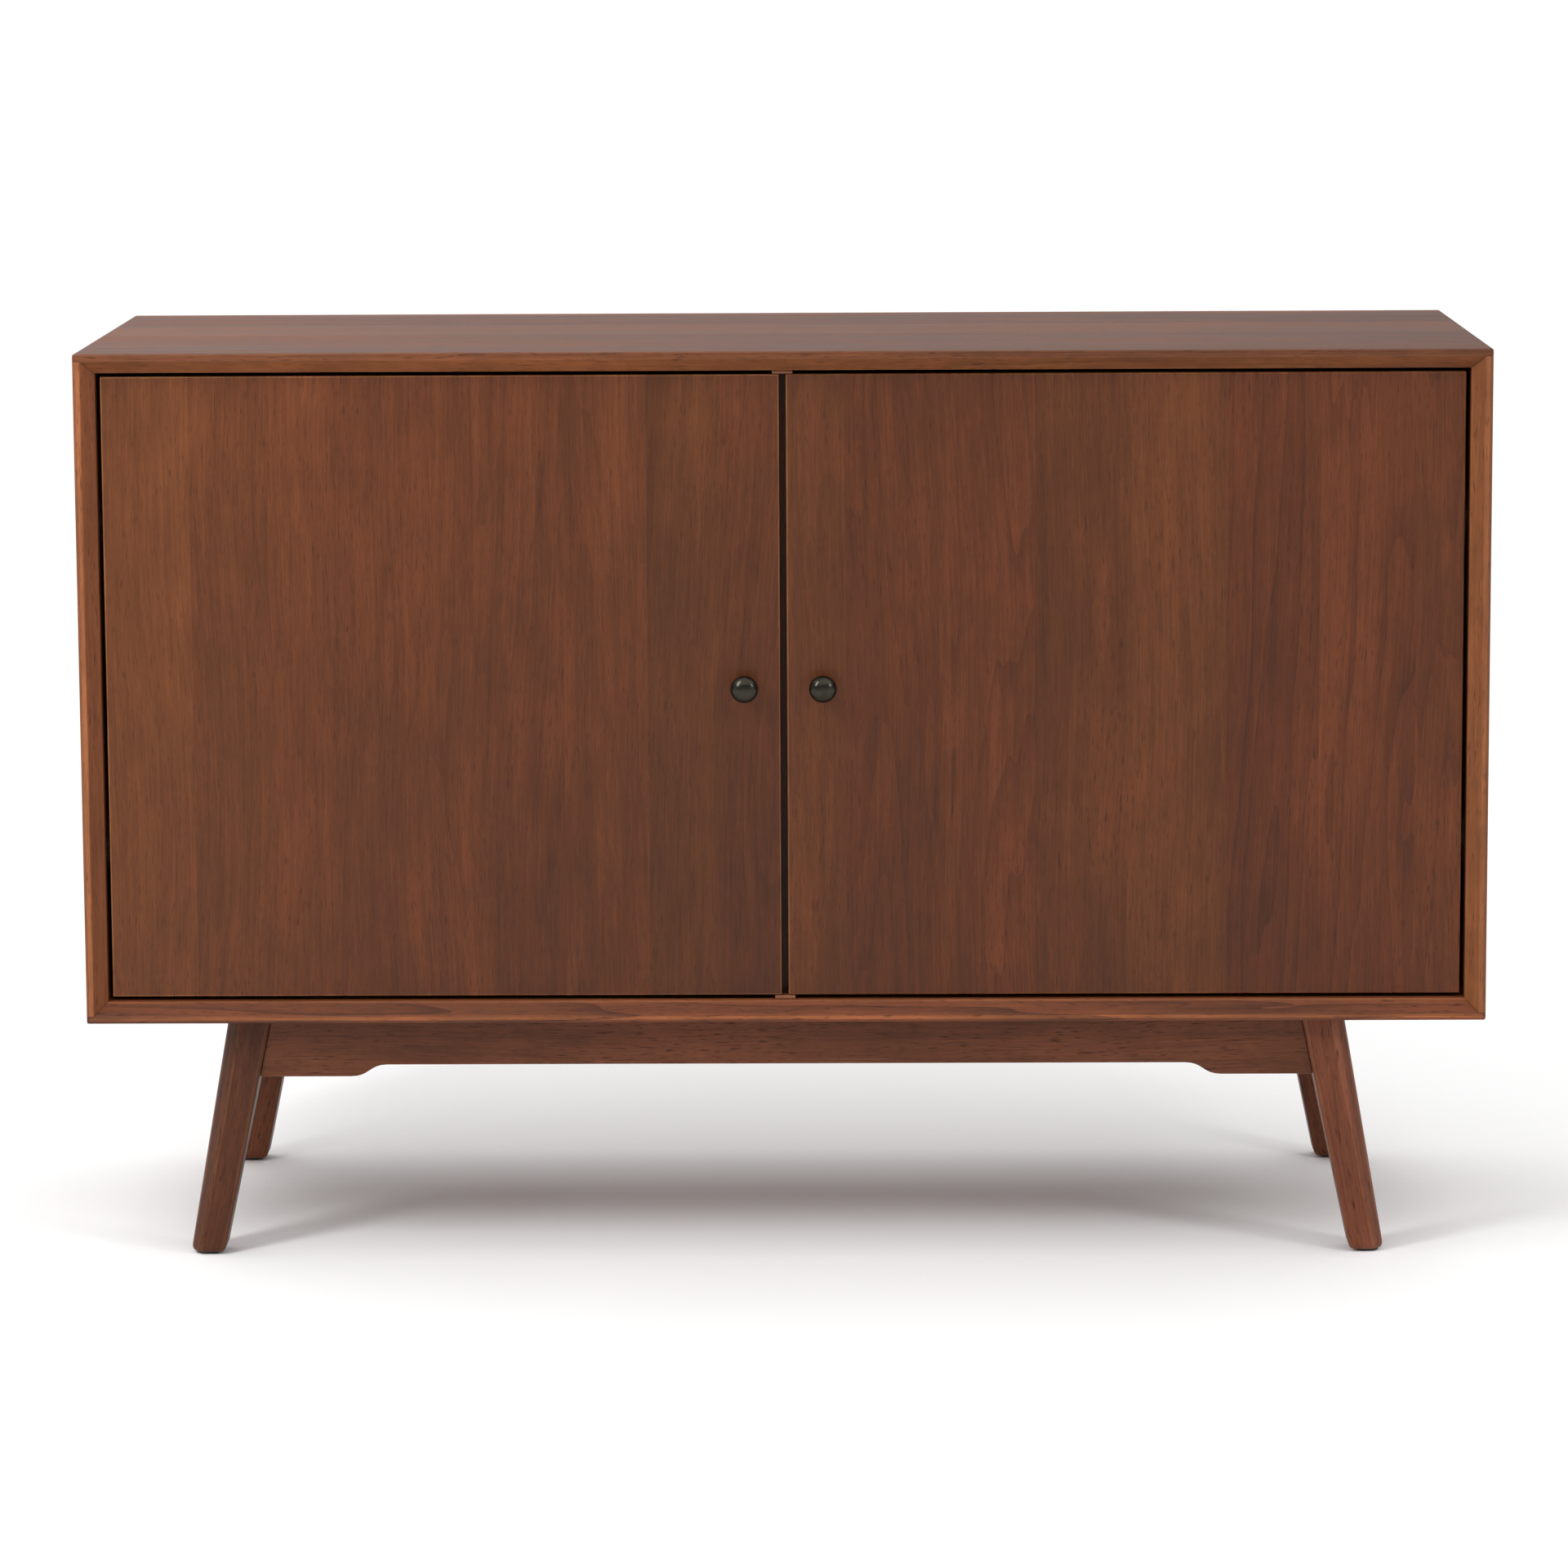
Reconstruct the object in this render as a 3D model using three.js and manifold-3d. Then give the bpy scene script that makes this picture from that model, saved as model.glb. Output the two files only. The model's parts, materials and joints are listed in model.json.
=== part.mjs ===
// Two-door sideboard buffet: a mitred box case on a splayed-leg base, with two inset doors.
// Millimetres, +Z up. The front faces -Y and +X is to the right of someone facing it.
// The origin is on the floor, below the middle of the overall box.
import * as THREE from "three";
import { mergeVertices } from "three/addons/utils/BufferGeometryUtils.js";
import Module from "manifold-3d";

const wasm = await Module();
wasm.setup();

// ---- Driving dimensions ----

// Case
const CASE_WIDTH = 1320.8;
const CASE_DEPTH = 457.2;
const OVERALL_HEIGHT = 863.6;
const LEG_HEIGHT = 228.6;
const BOARD = 19; // thickness of every case board
const EDGE_BAND = 7; // flat outer band of a front edge
const BEVEL_DEPTH = 13.8; // the inner bevel of a front edge runs this far back
const ARRIS = 3; // rounding of the outer front edges
const REAR_ARRIS = 1;
const REBATE_WIDTH = 8; // rebate that holds the back panel
const REBATE_DEPTH = 8;
const BACK_THICKNESS = 5;
const JOINT_GAP = 0.3; // glue line or fitting gap between neighbouring pieces

// Doors
const DOOR_SETBACK = 18; // door face behind the front edges of the case
const DOOR_THICKNESS = 19;
const DOOR_EASE = 1.5; // rounding of the door edges
const DOOR_SIDE_GAP = 4.2;
const DOOR_END_GAP = 3.8; // above and below a door
const DOOR_MEETING_GAP = 6.2;

// Knobs
const KNOB_PROJECTION = 25;
const KNOB_EDGE_DISTANCE = 33.7; // knob centre to the door's meeting edge
const SCREW_RADIUS = 2;
const SCREW_HOLE_RADIUS = 2.3;
const SCREW_REACH = 11; // length of screw inside the knob

// Concealed hinges. "Across" is measured from the inner face of the case side,
// "behind" from the front face of the closed door.
const HINGE_END_DISTANCE = 140; // hinge centre to the end of the door
const CUP_RADIUS = 17.5;
const CUP_DEPTH = 12.5;
const CUP_EDGE_DISTANCE = 22; // cup centre to the hinge edge of the door
const CUP_WALL = 0.8;
const PIVOT_ACROSS = 17.8;
const PIVOT_BEHIND = 10.4;
const PIVOT_PIN_RADIUS = 1.5;
const KNUCKLE_RADIUS = 2.8;
const ARM_HEIGHT = 12;
const ARM_THICKNESS = 2.4;
const ARM_REACH = 36.8; // farthest point of the arm's hook, across
const ARM_TURN = 29.6; // rear face of the hook's return, behind
const ARM_BODY = [4.6, 13]; // arm body, across
const ARM_END = 84; // rear end of the arm body, behind
const PLATE_THICKNESS = 4;

// Inside of the case
const DIVIDER_CLEARANCE = 2; // between the closed doors and the divider
const SHELF_THICKNESS = 16;
const SHELF_SETBACK = 40; // shelf front behind the closed doors
const SHELF_CLEARANCE = 1.5;
const PIN_RADIUS = 2.5;
const PIN_HOLE_RADIUS = 2.8;
const PIN_HEAD_RADIUS = 4;
const PIN_INSERT = 8; // length of pin inside the board
const PIN_EXPOSED = 9;
const PIN_ROW_INSET = 45; // pin rows in from the front and back edges of the shelf
const PIN_HOLE_PITCH = 64; // between the heights that a shelf can take
const STOP_STRIP_THICKNESS = 3;

// Base
const LEG_TOP = { inner: 488.4, outer: 529.8, inset: 24, depth: 41.4 };
const LEG_FOOT = { inner: 536.4, outer: 569.4, inset: 19, depth: 33 };
const LEG_FACET = { across: 0.25, deep: 0.3 }; // cut off the outer front corner, in leg widths
const LEG_ROUNDING = 0.1; // of the other corners, in leg widths
const GLIDE_HEIGHT = 2.5;
const GLIDE_RADIUS = 11.5;
const APRON_THICKNESS = 19;
const APRON_INSET = 28; // apron face behind the case front, and in from the case back
const APRON_HEIGHT = 57;
const APRON_ARCH = 11.3; // how much the middle of the apron is cut up
const ARCH_RUN = [379, 413]; // start and end of the curve on each half
const RAIL_INNER = 505; // inner face of a side rail, from the middle of the case
const RAIL_THICKNESS = 19;
const BRACE_LEG = 70; // corner brace, along the apron and along the rail
const BRACE_WIDTH = 27; // its cut ends
const BRACE_HEIGHT = 45;
const BOLT_RADIUS = 4;
const BOLT_HOLE_RADIUS = 4.3;

const ROUND_STEPS = 4; // segments in each rounded corner
const CUP_SEGMENTS = 36;

// ---- Derived places ----

const KNOB_PROUD = KNOB_PROJECTION - DOOR_SETBACK;
const FRONT = (KNOB_PROUD - CASE_DEPTH) / 2;
const BACK = FRONT + CASE_DEPTH;
const HALF_WIDTH = CASE_WIDTH / 2;
const INNER_X = HALF_WIDTH - BOARD;
const TOP = OVERALL_HEIGHT;
const BOTTOM = LEG_HEIGHT;
const CEILING = TOP - BOARD;
const FLOOR = BOTTOM + BOARD;
const DOOR_FACE = FRONT + DOOR_SETBACK;
const DOOR_BACK = DOOR_FACE + DOOR_THICKNESS;
const DOOR_TOP = CEILING - DOOR_END_GAP;
const DOOR_BOTTOM = FLOOR + DOOR_END_GAP;
const DOOR_MIDDLE = (DOOR_TOP + DOOR_BOTTOM) / 2;
const BACK_PANEL_FRONT = BACK - REBATE_DEPTH;
const SHELF_FRONT = DOOR_BACK + SHELF_SETBACK;
const SHELF_REAR = BACK_PANEL_FRONT - SHELF_CLEARANCE;
const SHELF_BOTTOM = (CEILING + FLOOR - SHELF_THICKNESS) / 2;
const PIN_LEVEL = SHELF_BOTTOM - PIN_HEAD_RADIUS - JOINT_GAP;
const PIN_ROWS = [SHELF_FRONT + PIN_ROW_INSET, SHELF_REAR - PIN_ROW_INSET];
const HINGE_LEVELS = { upper: DOOR_TOP - HINGE_END_DISTANCE, lower: DOOR_BOTTOM + HINGE_END_DISTANCE };
const SIDES = { left: -1, right: 1 };

const COLOURS = {
  caseWood: { color: 0x6b4029, roughness: 0.45, metalness: 0 },
  doorWood: { color: 0x70432c, roughness: 0.42, metalness: 0 },
  legWood: { color: 0x653a28, roughness: 0.45, metalness: 0 },
  innerWood: { color: 0x5d3a27, roughness: 0.6, metalness: 0 },
  nickel: { color: 0xb8b6b0, roughness: 0.3, metalness: 1 },
  gunmetal: { color: 0x35322e, roughness: 0.35, metalness: 0.9 },
  plastic: { color: 0x201d1b, roughness: 0.6, metalness: 0 },
};

// ---- Solid modelling helpers ----

// An outline lies in one of three planes and is extruded square to it.
const PLANES = {
  plan: new THREE.Matrix4(),
  front: basis([1, 0, 0], [0, 0, 1], [0, -1, 0]),
  side: basis([0, 1, 0], [0, 0, 1], [1, 0, 0]),
};

function basis(first, second, third) {
  const axes = [first, second, third].map((axis) => new THREE.Vector3(...axis));
  return new THREE.Matrix4().makeBasis(...axes);
}

// A closed outline from corners [a, b, radius]; the radius may be left out.
function outline(corners) {
  const shape = new THREE.Shape();
  const points = corners.map(([a, b]) => new THREE.Vector2(a, b));
  corners.forEach(([, , radius = 0], i) => {
    const corner = points[i];
    const before = points.at(i - 1);
    const after = points[(i + 1) % points.length];
    const start = towards(corner, before, radius);
    const end = towards(corner, after, radius);
    if (i === 0) shape.moveTo(start.x, start.y);
    else shape.lineTo(start.x, start.y);
    if (radius > 0) roundCorner(shape, start, corner, end);
  });
  return shape;
}

function towards(from, to, distance) {
  return to.clone().sub(from).setLength(1).multiplyScalar(distance).add(from);
}

function roundCorner(shape, start, corner, end) {
  const pull = 0.5523; // makes a cubic curve follow a quarter circle
  const first = start.clone().lerp(corner, pull);
  const second = end.clone().lerp(corner, pull);
  shape.bezierCurveTo(first.x, first.y, second.x, second.y, end.x, end.y);
}

function extrude(shape, plane, low, high, steps = ROUND_STEPS) {
  const options = { depth: high - low, bevelEnabled: false, curveSegments: steps };
  const geometry = new THREE.ExtrudeGeometry(shape, options);
  geometry.translate(0, 0, plane === "front" ? -high : low);
  return solid(geometry.applyMatrix4(PLANES[plane]));
}

function box([x0, x1], [y0, y1], [z0, z1]) {
  const geometry = new THREE.BoxGeometry(Math.abs(x1 - x0), Math.abs(y1 - y0), Math.abs(z1 - z0));
  return solid(geometry.translate((x0 + x1) / 2, (y0 + y1) / 2, (z0 + z1) / 2));
}

// A cylinder along Y from low to high, centred on x and z.
function cylinderAlongY(radius, x, [low, high], z, segments = 24) {
  const geometry = new THREE.CylinderGeometry(radius, radius, high - low, segments);
  return solid(geometry.translate(x, (low + high) / 2, z));
}

// A cylinder along Z from low to high, centred on x and y.
function cylinderAlongZ(radius, x, y, [low, high], segments = 24) {
  const geometry = new THREE.CylinderGeometry(radius, radius, high - low, segments);
  geometry.rotateX(Math.PI / 2);
  return solid(geometry.translate(x, y, (low + high) / 2));
}

// A body turned about Y. The profile runs [radius, height] and starts and ends on the axis.
function turned(profile, segments) {
  const points = profile.map(([radius, height]) => new THREE.Vector2(radius, height));
  return new THREE.LatheGeometry(points, segments);
}

// A closed geometry as a manifold solid with its faces pointing out.
function solid(geometry) {
  const bare = new THREE.BufferGeometry();
  bare.setAttribute("position", geometry.getAttribute("position"));
  bare.setIndex(geometry.index);
  const merged = mergeVertices(bare, 1e-4);
  const triangles = new Uint32Array(merged.index.array);
  const made = manifold(merged.attributes.position.array, triangles);
  if (made.volume() > 0) return made;
  return manifold(merged.attributes.position.array, triangles.reverse());
}

function manifold(vertProperties, triVerts) {
  return new wasm.Manifold(new wasm.Mesh({ numProp: 3, vertProperties, triVerts }));
}

function common(first, ...others) {
  return others.reduce((body, other) => body.intersect(other), first);
}

function join(first, ...others) {
  return others.reduce((body, other) => body.add(other), first);
}

function cut(first, ...others) {
  return others.reduce((body, other) => body.subtract(other), first);
}

function geometryOf(body) {
  const { vertProperties, triVerts } = body.getMesh();
  const geometry = new THREE.BufferGeometry();
  geometry.setAttribute("position", new THREE.BufferAttribute(vertProperties, 3));
  geometry.setIndex(new THREE.BufferAttribute(triVerts, 1));
  geometry.computeVertexNormals();
  return geometry;
}

const sideboard = new THREE.Group();
sideboard.name = "sideboard_buffet";

function place(name, body, finish) {
  const material = new THREE.MeshStandardMaterial(COLOURS[finish]);
  const mesh = new THREE.Mesh(geometryOf(body), material);
  mesh.name = name;
  sideboard.add(mesh);
}

// ---- Case ----

// Cross-section of a case board as [depth, across, radius], with its outer face at `outer`
// and its thickness running in the direction `inward`.
function boardSection(outer, inward) {
  const band = outer + inward * EDGE_BAND;
  const inner = outer + inward * BOARD;
  const rebate = outer + inward * (BOARD - REBATE_WIDTH);
  return [
    [FRONT, outer, ARRIS],
    [FRONT, band, 0.8],
    [FRONT + BEVEL_DEPTH, inner],
    [BACK - REBATE_DEPTH, inner],
    [BACK - REBATE_DEPTH, rebate],
    [BACK, rebate],
    [BACK, outer, REAR_ARRIS],
  ];
}

// The top and the bottom run the full width outside; inside they are mitred to the sides.
function horizontalPanel(outer, inward) {
  const band = outer + inward * EDGE_BAND;
  const inner = outer + inward * BOARD;
  const shoulder = HALF_WIDTH - EDGE_BAND;
  const face = outline([
    [-HALF_WIDTH, outer, ARRIS],
    [HALF_WIDTH, outer, ARRIS],
    [HALF_WIDTH, band],
    [shoulder, band],
    [INNER_X, inner],
    [-INNER_X, inner],
    [-shoulder, band],
    [-HALF_WIDTH, band],
  ]);
  const plan = outline([
    [-HALF_WIDTH, FRONT, ARRIS],
    [HALF_WIDTH, FRONT, ARRIS],
    [HALF_WIDTH, BACK, REAR_ARRIS],
    [-HALF_WIDTH, BACK, REAR_ARRIS],
  ]);
  return common(
    extrude(face, "front", FRONT, BACK),
    extrude(outline(boardSection(outer, inward)), "side", -HALF_WIDTH, HALF_WIDTH),
    extrude(plan, "plan", BOTTOM, TOP),
  );
}

function sidePanel(side) {
  const outer = side * HALF_WIDTH;
  const band = side * (HALF_WIDTH - EDGE_BAND);
  const inner = side * INNER_X;
  const face = outline([
    [outer, BOTTOM + EDGE_BAND + JOINT_GAP],
    [outer, TOP - EDGE_BAND - JOINT_GAP],
    [band, TOP - EDGE_BAND - JOINT_GAP],
    [inner, CEILING - JOINT_GAP],
    [inner, FLOOR + JOINT_GAP],
    [band, BOTTOM + EDGE_BAND + JOINT_GAP],
  ]);
  const section = boardSection(outer, -side).map(([depth, across, radius]) => [across, depth, radius]);
  const blank = common(
    extrude(face, "front", FRONT, BACK),
    extrude(outline(section), "plan", BOTTOM, TOP),
  );
  return cut(blank, ...pinHoles(inner, side));
}

// Shelf pin holes in the face at x, drilled in the direction `into`.
function pinHoles(x, into) {
  const heights = [-PIN_HOLE_PITCH, 0, PIN_HOLE_PITCH];
  const depth = PIN_INSERT + 2 * JOINT_GAP;
  return PIN_ROWS.flatMap((y) => heights.map((rise) => {
    const geometry = new THREE.CylinderGeometry(PIN_HOLE_RADIUS, PIN_HOLE_RADIUS, 2 * depth, 12);
    geometry.rotateZ(Math.PI / 2 * into);
    return solid(geometry.translate(x, y, PIN_LEVEL + rise));
  }));
}

function divider() {
  const blank = box(
    [-BOARD / 2, BOARD / 2],
    [DOOR_BACK + DIVIDER_CLEARANCE, BACK_PANEL_FRONT - JOINT_GAP],
    [FLOOR + JOINT_GAP, CEILING - JOINT_GAP],
  );
  return cut(blank, ...pinHoles(-BOARD / 2, 1), ...pinHoles(BOARD / 2, -1));
}

function backPanel() {
  const reach = REBATE_WIDTH - JOINT_GAP;
  return box(
    [-INNER_X - reach, INNER_X + reach],
    [BACK_PANEL_FRONT, BACK_PANEL_FRONT + BACK_THICKNESS],
    [FLOOR - reach, CEILING + reach],
  );
}

// A thin strip at the middle of the opening, above or below the meeting edges of the doors.
function stopStrip(surface, inward) {
  const near = surface + inward * JOINT_GAP;
  return box(
    [-BOARD / 2, BOARD / 2],
    [DOOR_FACE - 1, DOOR_BACK + DIVIDER_CLEARANCE - JOINT_GAP],
    [near, near + inward * STOP_STRIP_THICKNESS],
  );
}

function buildCase() {
  place("top_panel", horizontalPanel(TOP, -1), "caseWood");
  place("bottom_panel", horizontalPanel(BOTTOM, 1), "caseWood");
  place("left_side_panel", sidePanel(SIDES.left), "caseWood");
  place("right_side_panel", sidePanel(SIDES.right), "caseWood");
  place("centre_divider", divider(), "innerWood");
  place("back_panel", backPanel(), "innerWood");
  place("upper_stop_strip", stopStrip(CEILING, -1), "innerWood");
  place("lower_stop_strip", stopStrip(FLOOR, 1), "innerWood");
}

// ---- Shelves ----

function shelf(side) {
  const ends = [
    side * (BOARD / 2 + SHELF_CLEARANCE),
    side * (INNER_X - SHELF_CLEARANCE),
  ];
  return box(ends, [SHELF_FRONT, SHELF_REAR], [SHELF_BOTTOM, SHELF_BOTTOM + SHELF_THICKNESS]);
}

// A shelf pin whose thin end sits in the board face at x; `out` points into the compartment.
function shelfPin(x, y, out) {
  const profile = [
    [0, -PIN_INSERT],
    [PIN_RADIUS, -PIN_INSERT],
    [PIN_RADIUS, JOINT_GAP],
    [PIN_HEAD_RADIUS, JOINT_GAP],
    [PIN_HEAD_RADIUS, PIN_EXPOSED],
    [0, PIN_EXPOSED],
  ];
  const geometry = turned(profile, 12);
  geometry.rotateZ(-out * Math.PI / 2);
  return solid(geometry.translate(x, y, PIN_LEVEL));
}

function buildShelves() {
  for (const [name, side] of Object.entries(SIDES)) {
    place(`${name}_shelf`, shelf(side), "innerWood");
    const faces = { outer: [side * INNER_X, -side], inner: [side * BOARD / 2, side] };
    for (const [face, [x, out]] of Object.entries(faces)) {
      place(`${name}_shelf_pin_${face}_front`, shelfPin(x, PIN_ROWS[0], out), "nickel");
      place(`${name}_shelf_pin_${face}_rear`, shelfPin(x, PIN_ROWS[1], out), "nickel");
    }
  }
}

// ---- Doors and knobs ----

function doorBlank(side) {
  const hingeEdge = side * (INNER_X - DOOR_SIDE_GAP);
  const meetingEdge = side * DOOR_MEETING_GAP / 2;
  const face = outline([
    [hingeEdge, DOOR_BOTTOM],
    [meetingEdge, DOOR_BOTTOM],
    [meetingEdge, DOOR_TOP],
    [hingeEdge, DOOR_TOP],
  ]);
  const geometry = new THREE.ExtrudeGeometry(face, {
    depth: DOOR_THICKNESS - 2 * DOOR_EASE,
    bevelThickness: DOOR_EASE,
    bevelSize: DOOR_EASE,
    bevelOffset: -DOOR_EASE,
    bevelSegments: 2,
  });
  geometry.translate(0, 0, DOOR_EASE - DOOR_BACK);
  return solid(geometry.applyMatrix4(PLANES.front));
}

function knobX(side) {
  return side * (DOOR_MEETING_GAP / 2 + KNOB_EDGE_DISTANCE);
}

function cupX(side) {
  return side * (INNER_X - DOOR_SIDE_GAP - CUP_EDGE_DISTANCE);
}

function door(side) {
  const recess = [DOOR_BACK - CUP_DEPTH, DOOR_BACK + 1];
  const screwHole = [DOOR_FACE - 1, DOOR_BACK + 1];
  const cups = Object.values(HINGE_LEVELS).map((z) =>
    cylinderAlongY(CUP_RADIUS, cupX(side), recess, z, CUP_SEGMENTS));
  const hole = cylinderAlongY(SCREW_HOLE_RADIUS, knobX(side), screwHole, DOOR_MIDDLE, 16);
  return cut(doorBlank(side), ...cups, hole);
}

// A turned knob: small foot, waisted neck and a domed head with a bead at its rim.
function knob(side) {
  const profile = [
    [0, 0],
    [8, 0],
    [8, 1.6],
    [5.4, 4],
    [4.9, 8],
    [6.4, 11.5],
    [11.6, 14],
    [12.8, 15.2],
    [13, 16.6],
    [12.4, 18],
    [10.6, 21],
    [7.4, 23.4],
    [3.8, 24.6],
    [0, KNOB_PROJECTION],
  ];
  const geometry = turned(profile, 28);
  geometry.rotateX(Math.PI);
  const body = solid(geometry.translate(knobX(side), DOOR_FACE - JOINT_GAP, DOOR_MIDDLE));
  const boring = [DOOR_FACE - SCREW_REACH - 1, DOOR_FACE + 1];
  const bore = cylinderAlongY(SCREW_HOLE_RADIUS, knobX(side), boring, DOOR_MIDDLE, 16);
  const stand = [DOOR_FACE - KNOB_PROJECTION, DOOR_FACE];
  const reach = cylinderAlongY(20, knobX(side), stand, DOOR_MIDDLE);
  return common(cut(body, bore), reach);
}

// A pan-head screw through the door from inside.
function knobScrew(side) {
  const tip = DOOR_FACE - SCREW_REACH;
  const profile = [
    [0, tip],
    [SCREW_RADIUS, tip],
    [SCREW_RADIUS, DOOR_BACK + JOINT_GAP],
    [4.2, DOOR_BACK + JOINT_GAP],
    [4.2, DOOR_BACK + 1.6],
    [2.8, DOOR_BACK + 2.6],
    [0, DOOR_BACK + 2.9],
  ];
  const geometry = turned(profile, 16);
  return solid(geometry.translate(knobX(side), 0, DOOR_MIDDLE));
}

function buildDoors() {
  for (const [name, side] of Object.entries(SIDES)) {
    place(`${name}_door`, door(side), "doorWood");
    place(`${name}_knob`, knob(side), "gunmetal");
    place(`${name}_knob_screw`, knobScrew(side), "nickel");
  }
}

// ---- Hinges ----

// Turns hinge corners [across, behind, radius] into plan corners [x, y, radius].
function hingePlan(side, corners) {
  return corners.map(([across, behind, radius]) => [side * (INNER_X - across), DOOR_FACE + behind, radius]);
}

function pivotPoint(side) {
  return [side * (INNER_X - PIVOT_ACROSS), DOOR_FACE + PIVOT_BEHIND];
}

// The arm is screwed to the case. Its hook reaches round the door edge into the cup.
function hingeArm(side, z) {
  const [bodyNear, bodyFar] = ARM_BODY;
  const halfBar = ARM_THICKNESS / 2;
  const hookInner = ARM_REACH - ARM_THICKNESS;
  const turnInner = ARM_TURN - ARM_THICKNESS;
  const bar = outline(hingePlan(side, [
    [PIVOT_ACROSS, PIVOT_BEHIND - halfBar],
    [ARM_REACH, PIVOT_BEHIND - halfBar, 4],
    [ARM_REACH, ARM_TURN, 4],
    [bodyFar, ARM_TURN, 2],
    [bodyFar, ARM_END, 3],
    [bodyNear, ARM_END, 3],
    [bodyNear, turnInner, 3],
    [hookInner, turnInner, 2],
    [hookInner, PIVOT_BEHIND + halfBar, 2],
    [PIVOT_ACROSS, PIVOT_BEHIND + halfBar],
  ]));
  const span = [z - ARM_HEIGHT / 2, z + ARM_HEIGHT / 2];
  const [px, py] = pivotPoint(side);
  const knuckle = cylinderAlongZ(KNUCKLE_RADIUS, px, py, span, 16);
  const eye = cylinderAlongZ(PIVOT_PIN_RADIUS + JOINT_GAP, px, py, [span[0] - 1, span[1] + 1], 16);
  return cut(join(extrude(bar, "plan", ...span), knuckle), eye);
}

// A thin cup let into the door, with a flange that is screwed to the back of the door.
function hingeCup(side, z) {
  const x = cupX(side);
  const rim = DOOR_BACK + 1.4;
  const floor = DOOR_BACK - CUP_DEPTH + JOINT_GAP;
  const bodyRadius = CUP_RADIUS - JOINT_GAP;
  const wings = outline([
    [x - 9, z - 30, 5],
    [x + 9, z - 30, 5],
    [x + 9, z + 30, 5],
    [x - 9, z + 30, 5],
  ]);
  const flange = [DOOR_BACK + JOINT_GAP / 2, rim];
  const shell = join(
    cylinderAlongY(bodyRadius, x, [floor, rim], z, CUP_SEGMENTS),
    cylinderAlongY(CUP_RADIUS + 1.2, x, flange, z, CUP_SEGMENTS),
    extrude(wings, "front", ...flange),
  );
  const hollow = cylinderAlongY(bodyRadius - CUP_WALL, x, [floor + CUP_WALL, rim + 1], z, CUP_SEGMENTS);
  const screwHoles = [-24, 24].map((rise) => cylinderAlongY(2, x, [DOOR_BACK - 1, rim + 1], z + rise, 12));
  return cut(shell, hollow, ...screwHoles);
}

// The pin spans the cup and turns in the eye of the arm.
function hingePin(side, z) {
  const [px, py] = pivotPoint(side);
  const clearRadius = CUP_RADIUS - JOINT_GAP - CUP_WALL;
  const offCentre = DOOR_SIDE_GAP + CUP_EDGE_DISTANCE - PIVOT_ACROSS + PIVOT_PIN_RADIUS;
  const half = Math.sqrt(clearRadius ** 2 - offCentre ** 2) - JOINT_GAP;
  return cylinderAlongZ(PIVOT_PIN_RADIUS, px, py, [z - half, z + half], 12);
}

// A cross-shaped plate on the inner face of the case side, under the arm body.
function mountingPlate(side, z) {
  const near = DOOR_FACE + 44;
  const far = DOOR_FACE + 82;
  const waist = [DOOR_FACE + 54, DOOR_FACE + 72];
  const cross = outline([
    [near, z - 6, 2],
    [waist[0], z - 6, 2],
    [waist[0], z - 24, 4],
    [waist[1], z - 24, 4],
    [waist[1], z - 6, 2],
    [far, z - 6, 2],
    [far, z + 6, 2],
    [waist[1], z + 6, 2],
    [waist[1], z + 24, 4],
    [waist[0], z + 24, 4],
    [waist[0], z + 6, 2],
    [near, z + 6, 2],
  ]);
  const faces = [side * (INNER_X - JOINT_GAP), side * (INNER_X - JOINT_GAP - PLATE_THICKNESS)];
  const ends = faces.sort((a, b) => a - b);
  return extrude(cross, "side", ...ends);
}

function buildHinges() {
  for (const [sideName, side] of Object.entries(SIDES)) {
    for (const [level, z] of Object.entries(HINGE_LEVELS)) {
      const name = `${sideName}_${level}_hinge`;
      place(`${name}_plate`, mountingPlate(side, z), "nickel");
      place(`${name}_arm`, hingeArm(side, z), "nickel");
      place(`${name}_cup`, hingeCup(side, z), "nickel");
      place(`${name}_pin`, hingePin(side, z), "nickel");
    }
  }
}

// ---- Base ----

// Leg measures at a height: they change evenly from the foot to the top.
function legAt(height) {
  const share = height / LEG_HEIGHT;
  const measures = Object.keys(LEG_TOP).map((key) =>
    [key, THREE.MathUtils.lerp(LEG_FOOT[key], LEG_TOP[key], share)]);
  return Object.fromEntries(measures);
}

// Turns a distance in from the case front (end -1) or back (end 1) into y.
function depthIn(end, distance) {
  return end < 0 ? FRONT + distance : BACK - distance;
}

// A splayed, tapered leg. Its section is a rounded square with a facet on the outer front corner.
function leg(side, end) {
  const section = outline([
    [0, 0, LEG_ROUNDING],
    [1, 0, LEG_ROUNDING],
    [1, 1 - LEG_FACET.deep, LEG_ROUNDING],
    [1 - LEG_FACET.across, 1, LEG_ROUNDING],
    [0, 1, LEG_ROUNDING],
  ]);
  const rise = LEG_HEIGHT - JOINT_GAP - GLIDE_HEIGHT;
  const geometry = new THREE.ExtrudeGeometry(section, { depth: 1, bevelEnabled: false, curveSegments: 5 });
  const position = geometry.getAttribute("position");
  for (let i = 0; i < position.count; i++) {
    const z = GLIDE_HEIGHT + position.getZ(i) * rise;
    const { inner, outer, inset, depth } = legAt(z);
    const x = side * THREE.MathUtils.lerp(inner, outer, position.getX(i));
    const y = depthIn(end, inset + depth * (1 - position.getY(i)));
    position.setXYZ(i, x, y, z);
  }
  return cut(solid(geometry), boltRod(side, end, BOLT_HOLE_RADIUS));
}

function glide(side, end) {
  const { inner, outer, inset, depth } = legAt(0);
  const x = side * (inner + outer) / 2;
  const y = depthIn(end, inset + depth / 2);
  return cylinderAlongZ(GLIDE_RADIUS, x, y, [0, GLIDE_HEIGHT - JOINT_GAP]);
}

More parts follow.
